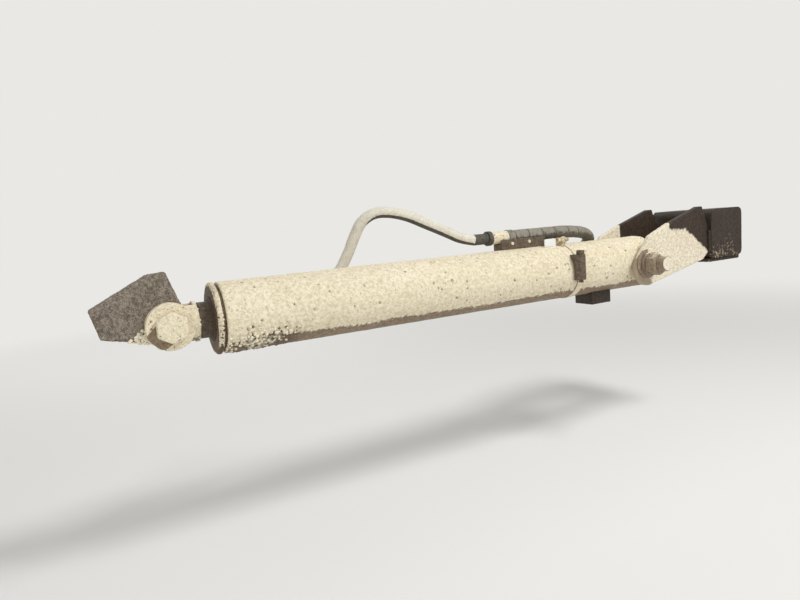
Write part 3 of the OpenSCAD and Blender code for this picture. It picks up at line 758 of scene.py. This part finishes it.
def barrel_crust(points, normals):
    smooth = np.clip((points[:, 0] - tube_end_x - SMOOTH_BAND) / (2 * MM), 0.05, 1)
    inside = from_axis(points) < barrel_r - WALL_SIDE
    return np.where(inside, 0, smooth * (1 + HOLES_STAND * rough_patch(points)))


band_low, band_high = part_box("band_clamp")
band_x = (band_low.x + band_high.x) / 2
band_half = (band_high.x - band_low.x) / 2
CRACK_FROM_BAND = 0.7 * MM
CRACK_WIDTH = 1 * MM


def splash_and_shaded_underside(points, normals):
    """Cement reaches round the sides, is half broken off beside the gland, and cracks beside the band."""
    broken = rough_patch(points) * rise(axis_z - 16 * MM - points[:, 2], 10 * MM)
    # Faces turned down stay bare brown: partly out of the splash's reach, partly painted shade
    around = np.clip((normals[:, 2] + 0.68) * 1.5, -0.4, 0.5) * (1 - broken) - 0.03 * broken
    from_band = np.abs(np.abs(points[:, 0] - band_x) - band_half - CRACK_FROM_BAND)
    return np.where(from_band < CRACK_WIDTH, -0.3, around)


STRAY_CLODS = 0.2
STRAY_LENGTH = 110 * MM
CLOD_BAND = 8 * MM


def barrel_clods(points, normals):
    """Clods sit along the lower front edge of the cement, and only on the outside of the tube."""
    from_end = points[:, 0] - tube_end_x
    edge_drop = np.interp(from_end, (8 * MM, 30 * MM), (36 * MM, 28 * MM))
    near_edge = np.exp(-((points[:, 2] - axis_z + edge_drop) / CLOD_BAND) ** 2)
    outside = from_axis(points) > barrel_r - WALL_SIDE - 1 * MM
    front = points[:, 1] < 0
    return (rough_patch(points) + STRAY_CLODS * (from_end < STRAY_LENGTH)) * near_edge * outside * front


BARREL_RELIEF = {"depth": 1.1, "grain": 5, "pit_size": 7, "pit_depth": 1.1}
store_masks(barrel, crust=barrel_crust, cover=splash_and_shaded_underside)
barrel = run_tree(barrel, crust_nodes, finishes["barrel_paint"], **BARREL_RELIEF)
hand_over(barrel, "barrel_tube")
clods_on(barrel, "barrel_tube", barrel_clods, density=45000, size=2.0)

# %% [markdown]
# ## Pieces cut from plate or forged
# Their CAD shape is right but too crisp. A copy is merged, filled with small even cells by the Remesh
# modifier, which also rounds each edge by about a millimetre as crust does, and then roughened.
# A bevel would keep edges cleaner, but its few faces could not carry the crust.

# %% Copy of a CAD node, ready for crust


def celled_piece(name, shape, cell):
    """A piece made of small even cells, from a closed bmesh, which is used up."""
    mesh = bpy.data.meshes.new(name)
    shape.to_mesh(mesh)
    shape.free()
    piece = new_piece(name, mesh)
    remesh = piece.modifiers.new("cells", "REMESH")
    remesh.mode = "VOXEL"
    remesh.voxel_size = cell
    remesh.use_smooth_shade = True
    graph = bpy.context.evaluated_depsgraph_get()
    celled = bpy.data.meshes.new_from_object(piece.evaluated_get(graph), depsgraph=graph)
    bpy.data.objects.remove(piece)
    return new_piece(name, celled)


def worn_copy(node_name, cell, crust=1.0, cover=0.3, **sizes):
    """A worn copy of a CAD node, in the finish that its record names. Cell and sizes are in mm."""
    shape = bmesh.new()
    shape.from_mesh(frame["nodes"][node_name].data)
    bmesh.ops.remove_doubles(shape, verts=shape.verts, dist=0.02 * MM)
    piece = celled_piece(node_name + "_worn", shape, cell * MM)
    store_masks(piece, crust=crust, cover=cover)
    piece = run_tree(piece, crust_nodes, finishes[slot_of[node_name]], **sizes)
    return hand_over(piece, node_name)


print("copies are ready to be made")

# %% [markdown]
# ## Base plug and gland
# The plug closes the tube and takes the base pin. The gland is screwed into the other end, guides the rod
# and holds its wiper. Grease on its face keeps the cement off, and on its rim the crust stands in ridges.
# Both are worn copies, because the CAD has their grooves and rounded rims already.

# %% Base plug and gland
worn_copy("base_plug", 1.5, cover=splash_and_shaded_underside, **BARREL_RELIEF)
GROOVE = 4.7 * MM
RIM_DEPTH = 6.5 * MM


def gland_cover(points, normals):
    """The rim is pale on top and towards the front; its face, groove and underside are dark and greasy."""
    rim = rise(from_axis(points) - barrel_r + RIM_DEPTH, 3 * MM) * (points[:, 0] < tube_end_x - GROOVE)
    low = np.clip((axis_z - points[:, 2]) / barrel_r - 0.62, 0, 1)
    return 0.20 + 0.55 * (normals[:, 2] - 0.15 * normals[:, 1]) * rim - 0.95 * (1 - rim) - 2 * low


def gland_clods(points, normals):
    """Clods sit on the rim where cement does, but not on its face."""
    upper = np.clip(normals[:, 2] + 0.5, 0, 1)
    return upper * (normals[:, 0] > -0.6) * (gland_cover(points, normals) > 0)


gland = worn_copy("gland", 1.0, crust=lambda p, n: np.where(n[:, 0] < -0.9, 0.35, 1.0), cover=gland_cover,
                  depth=2.8, grain=3.5, strokes=0.5, pit_depth=1.2, pit_share=0.2)
clods_on(gland, "gland", gland_clods, density=30000, size=1.2)

# %% [markdown]
# ## Rod end
# The clevis takes the bolt that carries the chute. Both are under the splash, so only the outline of the
# hexagon is left under the crust. The lug hangs closest to the falling concrete, and its crust runs in
# strokes, which the same tree makes by folding its noise about the middle value.

# %% Clevis, bolt and lug
# How far the bare patch, partly the bolt head's painted shadow, reaches left of and below the pin
HEAD_SHADOW_LEFT = 25.3 * MM
HEAD_SHADOW_BELOW = 25 * MM


def clevis_cover(points, normals):
    """Crust all over but for the underside, and for a bare patch below and left of the bolt: partly dirt,
    partly the head's painted shadow.
    """
    across, up = points[:, 0] - rod_pin.x, points[:, 2] - rod_pin.z
    in_head_shadow = np.minimum(across + HEAD_SHADOW_LEFT - up, up + HEAD_SHADOW_BELOW - 0.6 * across)
    in_head_shadow = np.minimum(in_head_shadow, -across - up) * (points[:, 1] < 0)
    return np.clip((normals[:, 2] + 0.72) * 1.2, -0.3, 0.5) - 0.9 * rise(in_head_shadow, 4 * MM)


clevis = worn_copy("rod_clevis", 1.1, cover=clevis_cover, depth=1.3, pit_depth=0.9, pit_share=0.2)
DRIP_AT = np.array(rod_pin + Vector((-18.3, -24, -28)) * MM)
DRIP_SIZE = 4 * MM


def clevis_clods(points, normals):
    """Clods hang along the clevis's lower edge and its neck, and one drip has grown under the bolt."""
    edge = np.clip(0.3 - normals[:, 2], 0, 1) * (normals[:, 0] > 0.1) + 0.4 * (normals[:, 0] > 0.6)
    return edge + 18 * (np.linalg.norm(points - DRIP_AT, axis=1) < DRIP_SIZE)


clods_on(clevis, "rod_clevis", clevis_clods, density=50000, size=1.2)
worn_copy("clevis_bolt", 0.8, depth=0.5, grain=3, pit_size=4, pit_depth=0.9, pit_share=0.12)
worn_copy("clevis_washer", 0.9, cover=0.05, depth=0.5, pit_size=7, pit_depth=0.7, pit_share=0.3)
worn_copy("clevis_nut", 1.0, cover=0.1, depth=0.7, pit_size=7, pit_depth=0.7, pit_share=0.3)
lug = worn_copy("chute_lug", 1.3, depth=2.4, grain=6, swirl=1.2, strokes=0.8, pit_size=9, pit_share=0.05)
LUMP_CENTRE = np.array((rod_pin.x - 35 * MM, rod_pin.z - 16 * MM))


def lug_clods(points, normals):
    """One heap of clods has set on the lug's lower corner."""
    return np.clip(1.5 - np.linalg.norm(points[:, [0, 2]] - LUMP_CENTRE, axis=1) / (11 * MM), 0, 1)


clods_on(lug, "chute_lug", lug_clods, density=230000, size=2.1)

# %% [markdown]
# ## Rod, piston and wiper
# The seal wipes the rod at every stroke, so no crust stays on it: a plain bar is spun, with its two finishes.
# The CAD's own piston, bushing and wiper are right as they are, and only take a material.

# %% Rod, piston and wiper
ROD_STEP = 4 * MM
ROD_AROUND = 96
rod_low, rod_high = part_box("piston_rod")
rod_r = (rod_high.y - rod_low.y) / 2
rod = spun("rod_bar", stations([
    (rod_low.x, 0), (rod_low.x, rod_r), (rod_high.x, rod_r), (rod_high.x, 0)], ROD_STEP), ROD_AROUND)
for face in rod.data.polygons:
    face.use_smooth = abs(face.normal.x) < 0.5
rod.data.materials.append(rod_chrome)
hand_over(rod, "piston_rod")
for node_name, material in (("piston", bare_steel), ("base_bushing", bronze), ("rod_wiper", seal_rubber)):
    slots = frame["nodes"][node_name].data.materials
    slots.clear()
    slots.append(material)
    print(node_name, "is", material.name)

# %% [markdown]
# ## Bracket
# Two flame-cut ears hold the base pin and are welded to a square tube block. Concrete reached the ears from
# the left, and stopped along a ragged edge; the block behind it is oily and brown, painted darker still as
# shade.
# The edge of the splash is stated as two straight cuts, and the finish breaks them up.

# %% Bracket
ACROSS_CUT = np.array((0.569, 0, 0.822))
CUT_AT = -0.0862
SPLASH_TOP_Z = 0.017
SPLASH_TOP_FROM_X = -0.224
SPLASH_RAGGED = 22  # how fast cement gives way to bare plate, per metre
EAR_INSIDE_Y = 60 * MM


def ear_splash(points, normals):
    past_cut = points @ ACROSS_CUT - CUT_AT
    above = np.where(points[:, 0] > SPLASH_TOP_FROM_X, points[:, 2] - SPLASH_TOP_Z, -0.05)
    inside_wall = np.where(np.abs(points[:, 1]) < EAR_INSIDE_Y, 0.3, 0)
    return np.clip(-np.maximum(past_cut, above) * SPLASH_RAGGED, -0.6, 0.45) - inside_wall


def nut_shadow_on_ear(points, normals):
    """Beside the washers, on the side away from the block, the shadow of the nut and washers is painted on
    the ear as a thin brown film.
    """
    away = (points[:, [0, 2]] - (base_pin.x, base_pin.z)) @ np.array((-0.82, -0.57))
    return np.clip((away - 8 * MM) / (7 * MM), 0, 0.8) * (points[:, 1] < 0)


BLOCK_RELIEF = {"depth": 0.9, "grain": 6, "pit_size": 8}
for side in ("near", "far"):
    ear = worn_copy(f"bracket_ear_{side}", 1.5, cover=ear_splash,
                    crust=lambda p, n: np.where(ear_splash(p, n) > 0, 1.0, 0.35),
                    depth=0.9, grain=5, pit_size=8, pit_depth=0.7, pit_share=0.06)
    # The ear's pit mask carries the painted shadow of the nut and washers
    store_masks(ear, pit=nut_shadow_on_ear)
    worn_copy(f"block_cap_{side}", 1.4, crust=0.6, cover=lambda p, n: -0.12 - p[:, 2] * 2.2, **BLOCK_RELIEF)
worn_copy("bracket_block", 1.9, crust=0.6, cover=-0.2, **BLOCK_RELIEF)
worn_copy("bracket_foot", 1.9, crust=0.8, cover=-0.05, **BLOCK_RELIEF)

# %% [markdown]
# ## Weld beads and threads
# A fillet weld leaves a row of overlapping ripples, and a bolt leaves a helix beyond its nut. Both are a
# round cord along a path, so the tube tree makes them: marks along the bead are its ripples.
# Small slices would do it by hand, but the tree keeps their spacing when a length changes.

# %% Beads on the ears and threads on the bolts
BEAD_SPAN = (-38 * MM, 8 * MM)
cap_front_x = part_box("block_cap_near")[0].x
for side, ear_side in (("near", -1), ("far", 1)):
    ear_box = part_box(f"bracket_ear_{side}")
    face_y = ear_side * max(abs(ear_box[0].y), abs(ear_box[1].y))
    bead_route = [Vector((cap_front_x - 1 * MM, face_y + ear_side * 1 * MM, z))
                  for z in np.linspace(*BEAD_SPAN, 12)]
    bead = tube_along(f"ear_bead_{side}", bead_route, "oily_steel", radius=4, step=1, mark_depth=0.9,
                      mark_pitch=2.2, mark_width=2.2, lump=1.2, lump_size=9)
    store_masks(bead, cover=-0.15)
    hand_over(bead, f"block_cap_{side}", stands_for=False)

THREAD_PITCH = 3.175 * MM
THREAD_R = 12.7 * MM
STEPS_PER_TURN = 24


def thread_on(name, node_name, pin, from_y, to_y):
    """A helix of thread crests on a bolt, along Y."""
    steps = int(abs(to_y - from_y) / THREAD_PITCH * STEPS_PER_TURN)
    helix = []
    for i in range(steps + 1):
        angle = i * math.tau / STEPS_PER_TURN
        helix.append(Vector((pin.x + THREAD_R * math.cos(angle), from_y + (to_y - from_y) * i / steps,
                             pin.z + THREAD_R * math.sin(angle))))
    crest = tube_along(name, helix, slot_of[node_name], radius=0.9)
    store_masks(crest, cover=-0.25)
    hand_over(crest, node_name, stands_for=False)


thread_on("base_bolt_thread", "base_bolt", base_pin,
          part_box("base_nut")[0].y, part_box("base_bolt")[0].y + 1 * MM)
thread_on("clevis_bolt_thread", "clevis_bolt", rod_pin,
          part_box("clevis_nut")[1].y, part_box("clevis_bolt")[1].y - 1 * MM)

# %% [markdown]
# ## Base pin's fasteners
# A bolt, a nut, two washers and a lock washer clamp the ears. They stick out on the near side, so they catch
# the splash. The joints between them are painted dark as shade: a rule gives the joints more of the crust
# mask, which the finish paints dark.

# %% Base pin's fasteners
bolt_end_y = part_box("base_bolt")[0].y


def nut_splash_and_light(points, normals):
    """Cream on what faces up and towards the block, partly splash and partly painted light from the key
    lamp's side, and on the bolt's end.
    """
    # Faces turned up and to the right take cover: partly splash, partly painted light
    facing = normals @ np.array((0.60, -0.10, 0.72)) - 0.33
    over_bolt = (points[:, 2] > base_pin.z + 3 * MM) * (points[:, 0] > base_pin.x - 1 * MM)
    upper = (normals[:, 1] < -0.7) * over_bolt * 0.7
    end = (points[:, 1] < bolt_end_y + 1.2 * MM) * 0.9
    return np.clip(facing + upper + end, -0.5, 0.5)


# How far in mm painted shade reaches into each joint, from the face that seats on the next part
JOINT_PAINTED_SHADE = {"base_bolt": 0, "base_nut": 3.2, "base_washer_near": 1.8, "base_lock_washer": 1.8,
              "base_washer_far": 1.8}
for node_name, shade_mm in JOINT_PAINTED_SHADE.items():
    fastener = worn_copy(node_name, 0.9, cover=nut_splash_and_light, depth=0.5, pit_depth=0.4)
    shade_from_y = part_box(node_name)[1].y - shade_mm * MM
    store_masks(fastener, crust=lambda p, n: 1 + 5 * rise(p[:, 1] - shade_from_y, 0.8 * MM))

# %% [markdown]
# ## Hose run on top of the barrel
# The hose dives into a ring and a crusted coupling, then runs in a dusty sleeve that is tied every 32 mm,
# over the barrel's top and down its far side to the port block.

# %% Hose run
SLEEVE_POINTS = [
    (-264, 10, 73.5), (-226, 10, 73.5), (-186, 10, 73.5), (-146, 10, 73.5),
    (-118, 15, 72), (-92, 23, 70), (-66, 32, 66), (-45, 41, 59), (-37, 48, 49), (-42, 56, 35), (-53, 61, 19),
]
sleeve_end = centre_of("base_port_ferrule")
sleeve_end.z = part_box("base_port_ferrule")[1].z
sleeve_route = smooth_route([base_pin + Vector(p) * MM for p in SLEEVE_POINTS] + [sleeve_end])
sleeve = tube_along("hose_sleeve_tied", sleeve_route, "sleeve_fabric", radius=11.5, mark_depth=1.3,
                    mark_pitch=16, mark_width=2.2, mark_shade=0.9, lump=1.6, lump_size=18)
store_masks(sleeve, cover=lambda p, n: n[:, 2] * 0.4 + 0.05)
hand_over(sleeve, "hose_sleeve")

# Cover and depth of the crust for each small piece; the saddle's low cover is partly painted shade
RUN_PIECES = {
    "hose_cuff": (-0.12, 0.2), "hose_ring": (-0.05, 0.6), "hose_coupling": (0.4, 2.4),
    "hose_collar": (0.1, 1.0), "rod_port": (0.3, 1.0), "rod_port_elbow": (0.3, 0.8),
    "rod_port_ferrule": (0.3, 0.6), "base_port_elbow": (-0.1, 0.6), "base_port_ferrule": (-0.1, 0.6),
    "base_port": (-0.15, 0.8), "hose_saddle": (-0.35, 0.7), "band_clamp": (0.45, 0.8),
    "clamp_housing": (-0.3, 0.9), "clamp_screw": (-0.2, 0.7), "bleed_fitting": (0.0, 0.6),
    "blank_tag": (0.3, 0.2),
}
for node_name, (cover, depth) in RUN_PIECES.items():
    worn_copy(node_name, 0.9, cover=cover, depth=depth)

# %% [markdown]
# ## Saddle screws
# Two small hexagon screws hold the saddle's front, and splash has turned their heads pale.
# A hexagonal prism has the right outline, and small cells round it as the crust does.

# %% Saddle screws
SCREW_FLATS = 5.4 * MM
SCREW_HEIGHT = 3 * MM
SCREW_SEAT = 0.5 * MM
SCREW_PLACES = ((-274.2, 61.3), (-235.2, 62.1))
screw_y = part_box("hose_saddle")[0].y + SCREW_SEAT - SCREW_HEIGHT / 2
corner_r = SCREW_FLATS / math.sqrt(3)
for number, (x, z) in enumerate(SCREW_PLACES, 1):
    head = bmesh.new()
    seat = Vector((base_pin.x + x * MM, screw_y, base_pin.z + z * MM))
    bmesh.ops.create_cone(
        head, cap_ends=True, segments=6, radius1=corner_r, radius2=corner_r, depth=SCREW_HEIGHT,
        matrix=Matrix.Translation(seat) @ Matrix.Rotation(math.pi / 2, 4, "X"))
    screw = celled_piece(f"saddle_screw_{number}", head, 0.5 * MM)
    store_masks(screw, crust=1.0, cover=0.5)
    screw = run_tree(screw, crust_nodes, finishes["dusty_fastener"], depth=0.6, grain=3, pit_share=0)
    hand_over(screw, "hose_saddle", stands_for=False)

# %% [markdown]
# ## Floor, light and background
# A plain pale floor and soft light show the object's own colours. The floor takes the shadow close by, and
# further out it fades into the background's colour, so that no horizon crosses the picture.

# %% Floor and light
BACKGROUND = paint_colour("#e9e8e5")
FLOOR_DROP = 0.30
FLOOR_HALF = 30
FADE_FROM, FADE_TO = 0.8, 3.4
FADE_CENTRE_X = -0.65
floor_z = min(cad_box[0].z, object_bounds()[0].z) - FLOOR_DROP
floor_mesh = bpy.data.meshes.new("floor")
corners = [(x * FLOOR_HALF, y * FLOOR_HALF, floor_z) for x, y in ((-1, -1), (1, -1), (1, 1), (-1, 1))]
floor_mesh.from_pydata(corners, [], [(0, 1, 2, 3)])
floor = new_piece("floor", floor_mesh)

floor_finish, add, diffuse, place = new_finish("floor")
wire(diffuse, {"Base Color": BACKGROUND, "Roughness": 0.9})
around_object = add("ShaderNodeMapping", {"Vector": place, "Location": (-FADE_CENTRE_X, 0, -floor_z)})
distance = add("ShaderNodeVectorMath", [around_object], operation="LENGTH").outputs["Value"]
fade = add("ShaderNodeMapRange", {"Value": distance, "From Min": FADE_FROM, "From Max": FADE_TO},
           interpolation_type="SMOOTHSTEP")
seen = add("ShaderNodeLightPath")
seen_far = add("ShaderNodeMath", [fade, seen.outputs["Is Camera Ray"]], operation="MULTIPLY")
glow = add("ShaderNodeEmission", {"Color": BACKGROUND, "Strength": 1.0})
mixed = add("ShaderNodeMixShader", [seen_far, diffuse, glow])
wire(floor_finish.node_tree.nodes["Material Output"], {"Surface": mixed})
floor.data.materials.append(floor_finish)

world = bpy.context.scene.world or bpy.data.worlds.new("world")
bpy.context.scene.world = world
world.use_nodes = True
sky = world.node_tree
sky.nodes.clear()
add = partial(add_node, sky)
ray = add("ShaderNodeLightPath").outputs
seen_by = add("ShaderNodeMath", [ray["Is Camera Ray"], ray["Is Glossy Ray"]], operation="MAXIMUM")
seen_by = add("ShaderNodeMath", [seen_by, ray["Is Transmission Ray"]], operation="MAXIMUM")
soft = add("ShaderNodeBackground", {"Color": (1, 1, 1, 1), "Strength": 0.42})
pale = add("ShaderNodeBackground", {"Color": BACKGROUND, "Strength": 1.0})
either = add("ShaderNodeMixShader", [seen_by, soft, pale])
add("ShaderNodeOutputWorld", {"Surface": either})

# Each lamp: its place from the object's middle, its width and its watts
LAMPS = {
    "key_lamp": ((0.9, -1.4, 1.9), 0.55, 40),
    "fill_lamp": ((-1.8, -1.6, 0.6), 1.6, 12),
    "back_lamp": ((-0.2, 2.2, 1.2), 1.6, 14),
}
middle = (base_pin + rod_pin) / 2
for name, (from_middle, width, watts) in LAMPS.items():
    lamp = bpy.data.lights.new(name, "AREA")
    lamp.size = width
    lamp.energy = watts
    holder = new_piece(name, lamp)
    holder.location = middle + Vector(from_middle)
    holder.rotation_euler = (middle - holder.location).to_track_quat("-Z", "Y").to_euler()
print("floor at", round(floor_z, 3), "m")
